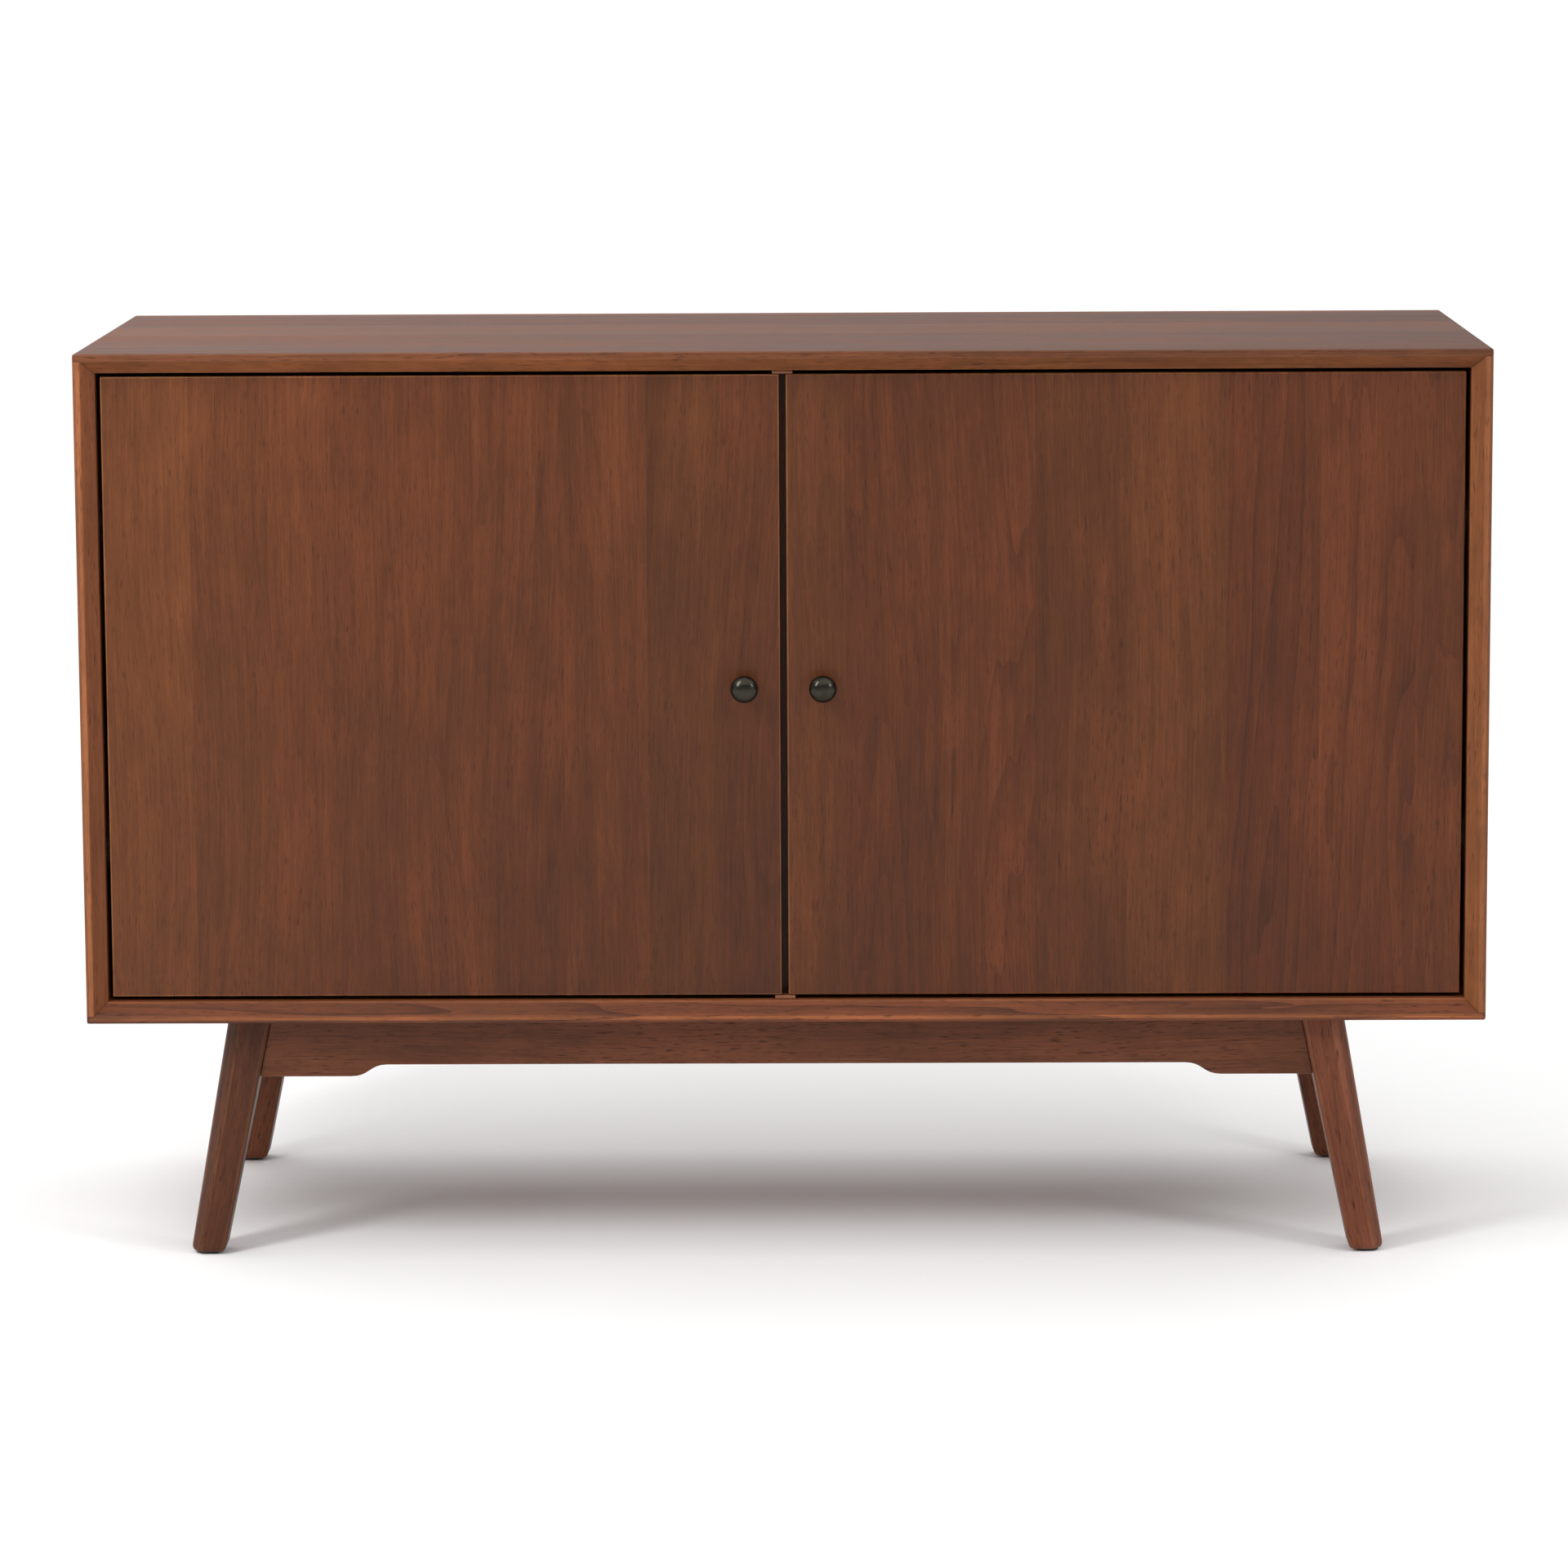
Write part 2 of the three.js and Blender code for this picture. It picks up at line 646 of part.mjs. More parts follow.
// The board between two legs at the front or the back, arched along its lower edge.
function apron(end) {
  const low = LEG_HEIGHT - APRON_HEIGHT;
  const high = LEG_HEIGHT - JOINT_GAP;
  const [archStart, archEnd] = ARCH_RUN;
  const archMiddle = (archStart + archEnd) / 2;
  const endAt = (z) => legAt(z).inner - JOINT_GAP;
  const shape = new THREE.Shape();
  shape.moveTo(endAt(high), high);
  shape.lineTo(-endAt(high), high);
  shape.lineTo(-endAt(low), low);
  shape.lineTo(-archEnd, low);
  shape.bezierCurveTo(-archMiddle, low, -archMiddle, low + APRON_ARCH, -archStart, low + APRON_ARCH);
  shape.lineTo(archStart, low + APRON_ARCH);
  shape.bezierCurveTo(archMiddle, low + APRON_ARCH, archMiddle, low, archEnd, low);
  shape.lineTo(endAt(low), low);
  const faces = [depthIn(end, APRON_INSET), depthIn(end, APRON_INSET + APRON_THICKNESS)];
  return extrude(shape, "front", ...faces.sort((a, b) => a - b), 8);
}

// The board between the front and rear legs of one side.
function sideRail(side) {
  const low = LEG_HEIGHT - APRON_HEIGHT;
  const high = LEG_HEIGHT - JOINT_GAP;
  const reach = (z) => legAt(z).inset + legAt(z).depth + JOINT_GAP;
  const face = outline([
    [FRONT + reach(low), low],
    [BACK - reach(low), low],
    [BACK - reach(high), high],
    [FRONT + reach(high), high],
  ]);
  const faces = [side * RAIL_INNER, side * (RAIL_INNER + RAIL_THICKNESS)];
  return extrude(face, "side", ...faces.sort((a, b) => a - b));
}

// A corner brace across the apron and the side rail.
function brace(side, end) {
  const apronFace = APRON_INSET + APRON_THICKNESS + JOINT_GAP;
  const railFace = RAIL_INNER - JOINT_GAP;
  const corners = [
    [railFace, apronFace + BRACE_LEG],
    [railFace, apronFace + BRACE_LEG + BRACE_WIDTH],
    [railFace - BRACE_LEG - BRACE_WIDTH, apronFace],
    [railFace - BRACE_LEG, apronFace],
  ];
  const plan = outline(corners.map(([across, inset]) => [side * across, depthIn(end, inset)]));
  const high = LEG_HEIGHT - JOINT_GAP;
  const blank = extrude(plan, "plan", high - BRACE_HEIGHT, high);
  return cut(blank, boltRod(side, end, BOLT_HOLE_RADIUS));
}

// A shape turned about the leg bolt's axis: profile [radius, distance towards the leg].
function onBoltAxis(side, end, profile, segments) {
  const middle = BRACE_LEG / 2 + BRACE_WIDTH / 2;
  const x = side * (RAIL_INNER - middle);
  const y = depthIn(end, APRON_INSET + APRON_THICKNESS + middle);
  const z = LEG_HEIGHT - BRACE_HEIGHT / 2;
  const outward = new THREE.Vector3(side, end, 0).normalize();
  const turn = new THREE.Quaternion().setFromUnitVectors(new THREE.Vector3(0, 1, 0), outward);
  return solid(turned(profile, segments).applyQuaternion(turn).translate(x, y, z));
}

function boltRod(side, end, radius) {
  const span = radius === BOLT_RADIUS ? [-24, 58] : [-30, 59];
  return onBoltAxis(side, end, [[0, span[0]], [radius, span[0]], [radius, span[1]], [0, span[1]]], 12);
}

// A bolt from the leg through the brace, with its washer and hexagon nut.
function legBolt(side, end) {
  const seat = -BRACE_WIDTH / Math.SQRT2 / 2 - JOINT_GAP;
  const washer = [[0, seat - 1.6], [10, seat - 1.6], [10, seat], [0, seat]];
  const nut = [[0, seat - 8], [7.4, seat - 8], [7.4, seat - 1.5], [0, seat - 1.5]];
  return join(
    boltRod(side, end, BOLT_RADIUS),
    onBoltAxis(side, end, washer, 24),
    onBoltAxis(side, end, nut, 6),
  );
}

function buildBase() {
  const ends = { front: -1, rear: 1 };
  for (const [endName, end] of Object.entries(ends)) {
    place(`${endName}_apron`, apron(end), "legWood");
    for (const [sideName, side] of Object.entries(SIDES)) {
      const corner = `${endName}_${sideName}`;
      place(`${corner}_leg`, leg(side, end), "legWood");
      place(`${corner}_glide`, glide(side, end), "plastic");
      place(`${corner}_brace`, brace(side, end), "innerWood");
      place(`${corner}_leg_bolt`, legBolt(side, end), "nickel");
    }
  }
  place("left_side_rail", sideRail(SIDES.left), "legWood");
  place("right_side_rail", sideRail(SIDES.right), "legWood");
}

buildCase();
buildShelves();
buildDoors();
buildHinges();
buildBase();

export default sideboard;
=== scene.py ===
"""Looks of the two-door sideboard buffet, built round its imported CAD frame.

Metres, +Z up, the front faces -Y. Places come from the boxes of the CAD nodes.
"""

import json
import math
from typing import NamedTuple

import bmesh
import bpy
from mathutils import Matrix, Vector
from mathutils.geometry import tessellate_polygon


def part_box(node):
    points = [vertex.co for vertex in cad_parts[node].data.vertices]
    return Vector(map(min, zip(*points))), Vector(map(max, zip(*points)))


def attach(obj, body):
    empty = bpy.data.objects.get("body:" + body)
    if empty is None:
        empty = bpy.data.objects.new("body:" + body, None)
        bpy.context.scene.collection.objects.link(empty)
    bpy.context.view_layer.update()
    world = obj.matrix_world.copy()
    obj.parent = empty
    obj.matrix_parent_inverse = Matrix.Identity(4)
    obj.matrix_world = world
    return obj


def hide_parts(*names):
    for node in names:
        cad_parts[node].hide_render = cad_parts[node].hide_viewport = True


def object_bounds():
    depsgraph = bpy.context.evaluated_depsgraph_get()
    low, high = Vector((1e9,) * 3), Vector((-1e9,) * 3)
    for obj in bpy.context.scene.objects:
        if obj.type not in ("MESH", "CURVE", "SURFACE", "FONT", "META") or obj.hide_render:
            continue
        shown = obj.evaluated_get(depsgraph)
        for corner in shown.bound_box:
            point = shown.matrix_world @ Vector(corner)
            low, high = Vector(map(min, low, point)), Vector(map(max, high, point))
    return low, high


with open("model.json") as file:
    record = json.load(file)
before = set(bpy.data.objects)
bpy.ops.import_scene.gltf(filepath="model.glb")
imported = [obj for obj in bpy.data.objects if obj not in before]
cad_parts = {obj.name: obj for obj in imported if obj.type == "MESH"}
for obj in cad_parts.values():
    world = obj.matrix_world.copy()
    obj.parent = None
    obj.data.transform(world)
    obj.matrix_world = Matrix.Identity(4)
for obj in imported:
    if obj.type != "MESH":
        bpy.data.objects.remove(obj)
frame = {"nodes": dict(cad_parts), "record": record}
CAD_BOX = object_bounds()

MM = 0.001
SIDES = {"left": -1, "right": 1}
ENDS = {"front": -1, "rear": 1}
HINGES = {side: [f"{side}_{level}_hinge" for level in ("upper", "lower")] for side in SIDES}
X = Vector((1, 0, 0))
Y = Vector((0, 1, 0))
Z = Vector((0, 0, 1))


# ---- Node materials ----

class Graph:
    """A material being built as nodes round one Principled shader."""

    def __init__(self, name):
        self.material = bpy.data.materials.new(name)
        self.material.use_nodes = True
        self.tree = self.material.node_tree
        self.shader = self.tree.nodes["Principled BSDF"]

    def feed(self, socket, value):
        if isinstance(value, bpy.types.NodeSocket):
            self.tree.links.new(value, socket)
        else:
            socket.default_value = value

    def add(self, kind, inputs=None, **settings):
        node = self.tree.nodes.new("ShaderNode" + kind)
        for key, value in settings.items():
            setattr(node, key, value)
        for key, value in (inputs or {}).items():
            self.feed(node.inputs[key], value)
        return node

    def maths(self, operation, *values):
        node = self.add("Math", operation=operation)
        for socket, value in zip(node.inputs, values):
            self.feed(socket, value)
        return node.outputs[0]

    def scaled(self, vector, factors):
        node = self.add("VectorMath", {0: vector, 1: factors}, operation="MULTIPLY")
        return node.outputs[0]

    def joined(self, x, y, z):
        return self.add("CombineXYZ", {0: x, 1: y, 2: z}).outputs[0]

    def noise(self, vector, scale, detail, roughness):
        """Soft noise from 0 to 1, with so many features per metre of the vector."""
        inputs = {"Vector": vector, "Scale": scale, "Detail": detail, "Roughness": roughness}
        return self.add("TexNoise", inputs).outputs["Fac"]

    def spread(self, value, low, high, to_low=0.0, to_high=1.0):
        """Maps low..high to to_low..to_high and clamps."""
        inputs = {0: value, 1: low, 2: high, 3: to_low, 4: to_high}
        return self.add("MapRange", inputs).outputs[0]

    def ramp(self, value, colours):
        """Colours spaced evenly over 0..1."""
        node = self.add("ValToRGB", {0: value})
        stops = node.color_ramp.elements
        for _ in colours[2:]:
            stops.new(0.5)
        for i, colour in enumerate(colours):
            stops[i].position = i / (len(colours) - 1)
            stops[i].color = (*colour, 1)
        return node.outputs[0]

    def mix(self, share, first, second, blend="MIX"):
        node = self.add("Mix", data_type="RGBA", blend_type=blend)
        for index, value in ((0, share), (6, first), (7, second)):
            opaque = (*value, 1) if isinstance(value, tuple) else value
            self.feed(node.inputs[index], opaque)
        return node.outputs[2]

    def bump(self, height, strength, distance):
        inputs = {"Height": height, "Strength": strength, "Distance": distance}
        normal = self.add("Bump", inputs).outputs[0]
        self.feed(self.shader.inputs["Normal"], normal)

    def set(self, **inputs):
        """Feeds the shader's own sockets; an underscore in a name stands for a space."""
        for key, value in inputs.items():
            self.feed(self.shader.inputs[key.replace("_", " ")], value)


def srgb(red, green, blue):
    """A colour given in screen values from 0 to 255, as linear light."""
    def linear(value):
        share = value / 255
        return share / 12.92 if share <= 0.04045 else ((share + 0.055) / 1.055) ** 2.4
    return (linear(red), linear(green), linear(blue))


class Layer(NamedTuple):
    """A noise in the wood, drawn out along its grain."""

    per_metre: float  # features across the board
    length: float  # share of the board's length that counts: the smaller, the longer the features
    detail: float
    roughness: float = 0.5


DRIFT = Layer(3.0, 0.5, 1.0)
RINGS = Layer(9.0, 0.09, 3.0, 0.45)
STREAKS = Layer(15.0, 0.045, 5.0, 0.95)
FIBRES = Layer(520.0, 0.022, 3.0, 0.6)
HAIRS = Layer(1700.0, 0.022, 2.0, 0.6)
PORES = Layer(1500.0, 0.07, 1.0)
FLECKS = Layer(620.0, 0.11, 1.0)
CLOUDS = Layer(10.0, 0.45, 5.0, 0.8)
# breaks up the lightening of edges and front faces, which is partly wear and partly painted light
LIGHTENING_NOISE = Layer(45.0, 0.45, 3.0, 0.6)

WAVE = 0.05  # metres between the grain's furthest drifts to either side
LEAN = 0.06  # the same for the strips' leans, in each metre along
STRIP_JUMP = 3.7  # metres between the rings of the darkest strip and those of the lightest
RING_COUNT = 17.0  # rings over the whole range of their noise
LATE_WOOD_POWER = 3.0  # keeps the dark part of a ring narrow

# How far each layer moves the tone, where 1 is from the darkest of a finish's tones to the lightest
CLOUD_TONE = 0.75
STREAK_TONE = 0.9
FIBRE_TONE = 0.45
HAIR_TONE = 0.3
PORE_TONE = 0.16

# How far each layer moves the roughness
FIBRE_DULLNESS = 0.16
STREAK_DULLNESS = 0.55
CLOUD_DULLNESS = 0.06


def wood(name, *, tones, red_shift, lightened_shift, strip_width, strip_contrast, figure, flecks,
         roughness, gloss):
    """Stained hardwood under satin lacquer.

    It reads three mesh attributes: "grain" (metres across the board, through it and along its grain),
    how much lighter the board is there (its own tone, with painted light and painted shade on some boards)
    and how far a face is lightened (partly wear, partly painted highlights and painted light).
    tones run from dark to light. The shifts are colour factors for redder strips and for lightened faces.
    strip_width is in metres. strip_contrast, figure and flecks say how strongly the glued strips, the
    growth rings and the short dark flecks show.
    """
    g = Graph(name)
    grain = g.add("Attribute", attribute_name="grain").outputs["Vector"]
    across, through, along = g.add("SeparateXYZ", {0: grain}).outputs

    def swing(value, amount):
        """A value that went from 0 to 1 now swings round 0, by half the amount each way."""
        return g.maths("MULTIPLY", g.maths("SUBTRACT", value, 0.5), amount)

    def layer(kind, sideways, depth=through):
        """A layer's noise, read at a place in the board."""
        place = g.joined(sideways, depth, g.maths("MULTIPLY", along, kind.length))
        return g.noise(place, kind.per_metre, kind.detail, kind.roughness)

    # Glued strips, each with its own tone, redness and lean of the grain
    strip = g.add("TexVoronoi", {"W": across, "Scale": 1 / strip_width, "Randomness": 0.75},
                  voronoi_dimensions="1D")
    tone, redness, lean = g.add("SeparateColor", {0: strip.outputs["Color"]}).outputs
    waved = g.maths("ADD", swing(layer(DRIFT, across), WAVE), across)
    leaned = g.maths("MULTIPLY_ADD", along, swing(lean, LEAN), waved)

    # Growth rings: contour lines of a noise, stronger in the redder strips
    strip_depth = g.maths("MULTIPLY_ADD", tone, STRIP_JUMP, through)
    ring = g.maths("FRACT", g.maths("MULTIPLY", layer(RINGS, leaned, strip_depth), RING_COUNT))
    late_wood = g.maths("POWER", ring, LATE_WOOD_POWER)
    figured = g.spread(redness, 0.4, 0.95, 0.15 * figure, 1.4 * figure)

    # Streaks of every width, fibres, pores, stain clouds, and flecks, strongest where the stain is light
    streak = layer(STREAKS, leaned)
    fibre = layer(FIBRES, leaned)
    hair = layer(HAIRS, leaned)
    pore = g.spread(layer(PORES, leaned), 0.62, 0.75)
    cloud = layer(CLOUDS, across)
    fleck = g.spread(layer(FLECKS, leaned), 0.6, 0.76)
    flecked = g.maths("MULTIPLY", fleck, g.spread(cloud, 0.4, 0.6, 0.3, 1.0))

    # Sum of the tones: about 0.5, plus what the growth rings take away on average
    # The board's tone: its own, plus painted light and painted shade on some boards
    tone_and_light = g.add("Attribute", attribute_name="tone_and_light").outputs["Fac"]
    parts = (
        tone_and_light,
        swing(tone, strip_contrast),
        swing(cloud, CLOUD_TONE),
        swing(streak, STREAK_TONE),
        swing(fibre, FIBRE_TONE),
        swing(hair, HAIR_TONE),
        g.maths("MULTIPLY", late_wood, g.maths("MULTIPLY", figured, -1.0)),
        g.maths("MULTIPLY", pore, -PORE_TONE),
        g.maths("MULTIPLY", flecked, -flecks),
    )
    value = 0.5 + figure * 0.25
    for part in parts:
        value = g.maths("ADD", part, value)
    colour = g.ramp(value, tones)
    red_share = g.maths("MULTIPLY", g.spread(g.maths("ADD", redness, swing(cloud, 1.2)), 0.2, 1.0), 0.8)
    colour = g.mix(red_share, colour, red_shift, "MULTIPLY")

    # Eased edges, front edges and bevels are lighter, and broken up: partly wear, partly painted highlights
    # and painted light
    edge = g.add("Attribute", attribute_name="wear_and_painted_light").outputs["Fac"]
    lightened = g.maths("MULTIPLY", edge, g.spread(layer(LIGHTENING_NOISE, across), 0.3, 0.7, 0.5, 1.0))
    colour = g.mix(lightened, colour, g.mix(1.0, colour, lightened_shift, "MULTIPLY"))

    # The dullness varies with the streaks and fibres, which breaks up reflections
    fine_dullness = g.maths("ADD", swing(fibre, FIBRE_DULLNESS), swing(streak, STREAK_DULLNESS))
    half = CLOUD_DULLNESS / 2
    cloud_dullness = g.spread(cloud, 0.3, 0.7, roughness - half, roughness + half)
    g.set(Base_Color=colour, Roughness=g.maths("ADD", fine_dullness, cloud_dullness))
    g.set(Coat_Weight=gloss * 0.3, Coat_Roughness=0.3, Specular_IOR_Level=gloss)
    ridges = g.maths("ADD", fibre, g.maths("MULTIPLY", hair, 0.5))
    height = g.maths("SUBTRACT", ridges, g.maths("MULTIPLY", pore, 0.8))
    g.bump(height, 0.22, 0.12 * MM)
    return g.material


def metal(name, colour, roughness, cloud_scale, scratch, metallic=1.0):
    """A plated or blackened metal with uneven polish and faint scratches.

    cloud_scale is in clouds per metre, and scratch says how strongly the scratches show.
    """
    g = Graph(name)
    place = g.add("TexCoord").outputs["Object"]
    cloud = g.noise(place, cloud_scale, 4.0, 0.6)
    scratches = g.noise(g.scaled(place, (1.0, 1.0, 0.06)), cloud_scale * 14, 2.0, 0.6)
    worn = tuple(min(1.0, channel * 1.35) for channel in colour)
    dull = tuple(channel * 0.75 for channel in colour)
    tone = g.maths("ADD", g.maths("MULTIPLY", g.maths("SUBTRACT", scratches, 0.5), scratch), cloud)
    g.set(Base_Color=g.ramp(g.spread(tone, 0.3, 0.7), (dull, colour, worn)))
    g.set(Roughness=g.spread(tone, 0.3, 0.7, roughness - 0.06, roughness + 0.08), Metallic=metallic)
    g.bump(scratches, 0.06, 0.05 * MM)
    return g.material


def plastic(name, colour, roughness):
    """Moulded plastic with a fine spark-eroded texture."""
    g = Graph(name)
    place = g.add("TexCoord").outputs["Object"]
    speckle = g.noise(place, 2600.0, 2.0, 0.7)
    cloud = g.noise(place, 140.0, 3.0, 0.6)
    scuffed = tuple(channel * 1.8 for channel in colour)
    g.set(Base_Color=g.ramp(g.spread(cloud, 0.3, 0.7), (colour, scuffed)))
    g.set(Roughness=g.spread(cloud, 0.3, 0.7, roughness - 0.08, roughness + 0.1))
    g.bump(speckle, 0.2, 0.05 * MM)
    return g.material


RED_STRIP = (1.03, 0.86, 0.92)  # colour factors of a redder strip
LIGHTENED_EDGE = (1.8, 2.2, 2.5)  # and of a lightened edge: wear and painted highlight
FINISHES = {
    "door_wood": wood(
        "door_wood_finish",
        tones=(srgb(61, 31, 13), srgb(82, 43, 19), srgb(104, 57, 27), srgb(126, 71, 36)),
        # the doors' lightened edges shift towards grey: a painted highlight
        red_shift=(1.03, 0.86, 0.94), lightened_shift=(2.3, 3.2, 4.4),
        strip_width=0.085, strip_contrast=0.13, figure=0.14, flecks=0.35, roughness=0.40, gloss=0.2),
    "case_wood": wood(
        "case_wood_finish",
        tones=(srgb(62, 33, 17), srgb(84, 46, 24), srgb(107, 60, 33), srgb(130, 76, 45)),
        red_shift=RED_STRIP, lightened_shift=(2.2, 2.45, 2.25),
        strip_width=0.11, strip_contrast=0.3, figure=0.4, flecks=0.65, roughness=0.42, gloss=0.22),
    "leg_wood": wood(
        "leg_wood_finish",
        tones=(srgb(58, 31, 19), srgb(82, 46, 29), srgb(106, 62, 41), srgb(130, 79, 55)),
        red_shift=RED_STRIP, lightened_shift=LIGHTENED_EDGE,
        strip_width=0.09, strip_contrast=0.12, figure=0.15, flecks=0.75, roughness=0.42, gloss=0.13),
    "inner_wood": wood(
        "inner_wood_finish",
        tones=(srgb(54, 30, 18), srgb(80, 47, 29), srgb(104, 63, 42), srgb(128, 80, 56)),
        red_shift=RED_STRIP, lightened_shift=LIGHTENED_EDGE,
        strip_width=0.13, strip_contrast=0.2, figure=0.25, flecks=0.4, roughness=0.5, gloss=0.2),
    "nickel": metal(
        "nickel_finish", colour=(0.56, 0.54, 0.5), roughness=0.3, cloud_scale=90.0, scratch=0.5),
    "gunmetal": metal(
        "gunmetal_finish", colour=(0.037, 0.033, 0.025), roughness=0.2, cloud_scale=110.0, scratch=0.3,
        metallic=0.9),
    "glide": plastic("glide_finish", colour=(0.012, 0.011, 0.011), roughness=0.55),
}

NODE_SLOT = {part["node"]: part["material_slot"] for part in frame["record"]["subparts"]}
NODE_BODY = {node: body for body, nodes in frame["record"]["behaviour"]["bodies"].items() for node in nodes}


# ---- Meshes ----

WELD = 0.002 * MM  # points closer than this are one point
FLAT = math.radians(0.4)  # triangles that meet at less than this are one face
SHARP = math.radians(28)  # edges that turn more than this are eased
CREASE = math.radians(50)  # edges that still turn more than this are shaded as sharp
ARRIS_WIDTH = 1.5 * MM  # a face narrower than this is part of an eased edge
FOOT_HEIGHT = 6.5 * MM  # of the rounding round each foot
FOOT_INSET = 3.5 * MM  # of that rounding at the floor
FOOT_STEPS = 5
CASE_LOW = Vector((*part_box("top_panel")[0].xy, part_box("bottom_panel")[0].z))
CASE_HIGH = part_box("top_panel")[1]
CASE_ROUNDING = 3.0 * MM  # of the outside edges of the case


def whole_mesh(node):
    """A CAD node's mesh as a bmesh, its triangles joined back into whole faces."""
    shape = bmesh.new()
    shape.from_mesh(frame["nodes"][node].data)
    bmesh.ops.remove_doubles(shape, verts=shape.verts, dist=WELD)
    bmesh.ops.dissolve_limit(shape, angle_limit=FLAT, verts=shape.verts, edges=shape.edges)
    return shape


def outside_planes(point, reach):
    """The axes along which a point lies within reach of the outside of the case."""
    gaps = [min(point[axis] - CASE_LOW[axis], CASE_HIGH[axis] - point[axis]) for axis in range(3)]
    return {axis for axis, gap in enumerate(gaps) if abs(gap) < reach}


def round_case(shape):
    """Rounds the edges that lie on two outside planes of the case, but for the lowest ones."""
    outside = []
    for edge in shape.edges:
        start, end = (vertex.co for vertex in edge.verts)
        shared = outside_planes(start, WELD) & outside_planes(end, WELD)
        level = [axis for axis in shared if abs(start[axis] - end[axis]) < WELD]
        if len(level) == 2 and max(start.z, end.z) > CASE_LOW.z + WELD:
            outside.append(edge)
    bmesh.ops.bevel(shape, geom=outside, offset=CASE_ROUNDING, segments=4, profile=0.5, affect="EDGES")


def ease_edges(shape, width):
    """Rounds every sharp edge."""
    sharp = [edge for edge in shape.edges if len(edge.link_faces) == 2 and edge.calc_face_angle(0) > SHARP]
    bmesh.ops.bevel(shape, geom=sharp, offset=width, segments=2, profile=0.5, affect="EDGES",
                    clamp_overlap=True)


def leg_ends(node):
    """Middles of a leg's lower and upper ends."""
    points = [vertex.co for vertex in frame["nodes"][node].data.vertices]
    ends = []
    for level in (corner.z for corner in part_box(node)):
        ring = [point for point in points if abs(point.z - level) < MM]
        ends.append(sum(ring, Vector()) / len(ring))
    return ends


def round_foot(shape, node):
    """Rounds the lower end of a leg into the flat that stands on the glide."""
    foot, head = leg_ends(node)
    half_width = max(abs(vertex.co.x - foot.x) for vertex in shape.verts if vertex.co.z < foot.z + MM)
    for step in range(FOOT_STEPS):
        rise = 1 - math.cos(math.pi / 2 * (step + 1) / FOOT_STEPS)
        everything = [*shape.verts, *shape.edges, *shape.faces]
        bmesh.ops.bisect_plane(shape, geom=everything, plane_co=foot + Z * rise * FOOT_HEIGHT, plane_no=Z)
    for vertex in shape.verts:
        height = vertex.co.z - foot.z
        if height > FOOT_HEIGHT:
            continue
        centre = foot.lerp(head, height / (head.z - foot.z))
        inset = FOOT_INSET * (1 - math.sqrt(max(0, 1 - (1 - height / FOOT_HEIGHT) ** 2)))
        offset = vertex.co - centre
        vertex.co -= Vector((offset.x, offset.y, 0)) * inset / half_width


def narrow(face):
    """Whether a face is a strip of an eased edge."""
    longest = max(edge.calc_length() for edge in face.edges)
    return face.calc_area() < ARRIS_WIDTH * longest and len(face.verts) == 4


# How far the wood is lightened, from 0 to 1: on the eased edges of the case's outside, of the doors and
# of all else (partly wear, partly painted highlights; on the doors a painted highlight), and on the front
# edge and the bevel of each case board (painted light)
CASE_EDGE_WEAR_AND_HIGHLIGHT = 0.15
DOOR_EDGE_HIGHLIGHT = 0.9
EDGE_WEAR_AND_HIGHLIGHT = 0.5
FRONT_PAINTED_LIGHT = {
    "top_panel": (0.18, 0.55),
    "bottom_panel": (1.0, 0.05),
    "left_side_panel": (0.6, 0.0),
    "right_side_panel": (0.6, 0.4),
}


def wear_and_painted_light_of(face, node):
    """How far a face of a node is lightened: wear and painted highlights on eased edges, painted light on
    front edges and bevels.
    """
    middle = face.calc_center_median()
    if narrow(face):
        if len(outside_planes(middle, CASE_ROUNDING)) > 1:
            return CASE_EDGE_WEAR_AND_HIGHLIGHT
        return DOOR_EDGE_HIGHLIGHT if node.endswith("_door") else EDGE_WEAR_AND_HIGHLIGHT
    # Front edges and bevels of the case boards: painted light, lighter where these faces catch more light
    edge_share, bevel_share = FRONT_PAINTED_LIGHT.get(node, (0.0, 0.0))
    slants_forward = -0.9 < face.normal.y < -0.3
    if slants_forward:
        return bevel_share
    faces_forward = face.normal.y < -0.99
    return edge_share if faces_forward and middle.y < CASE_LOW.y + MM else 0.0


def finished(name, shape, body, slot, stands_for="", grain=None):
    """Turns a bmesh into a finished piece that rides on a body.

    stands_for is the CAD node that the piece replaces, and grain is what lay_grain needs.
    """
    mesh = bpy.data.meshes.new(name)
    shape.normal_update()
    for edge in shape.edges:
        edge.smooth = edge.calc_face_angle(0) < CREASE
    wear_and_painted_light = [wear_and_painted_light_of(face, stands_for) for face in shape.faces]
    shape.to_mesh(mesh)
    shape.free()
    for polygon in mesh.polygons:
        polygon.use_smooth = True
    if grain is not None:
        lay_grain(mesh, grain, wear_and_painted_light)
    mesh.materials.append(FINISHES[slot])
    piece = bpy.data.objects.new(name, mesh)
    bpy.context.scene.collection.objects.link(piece)
    smooth = piece.modifiers.new("even_shading", "WEIGHTED_NORMAL")
    smooth.keep_sharp = True
    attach(piece, body)
    if stands_for:
        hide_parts(stands_for)
    return piece


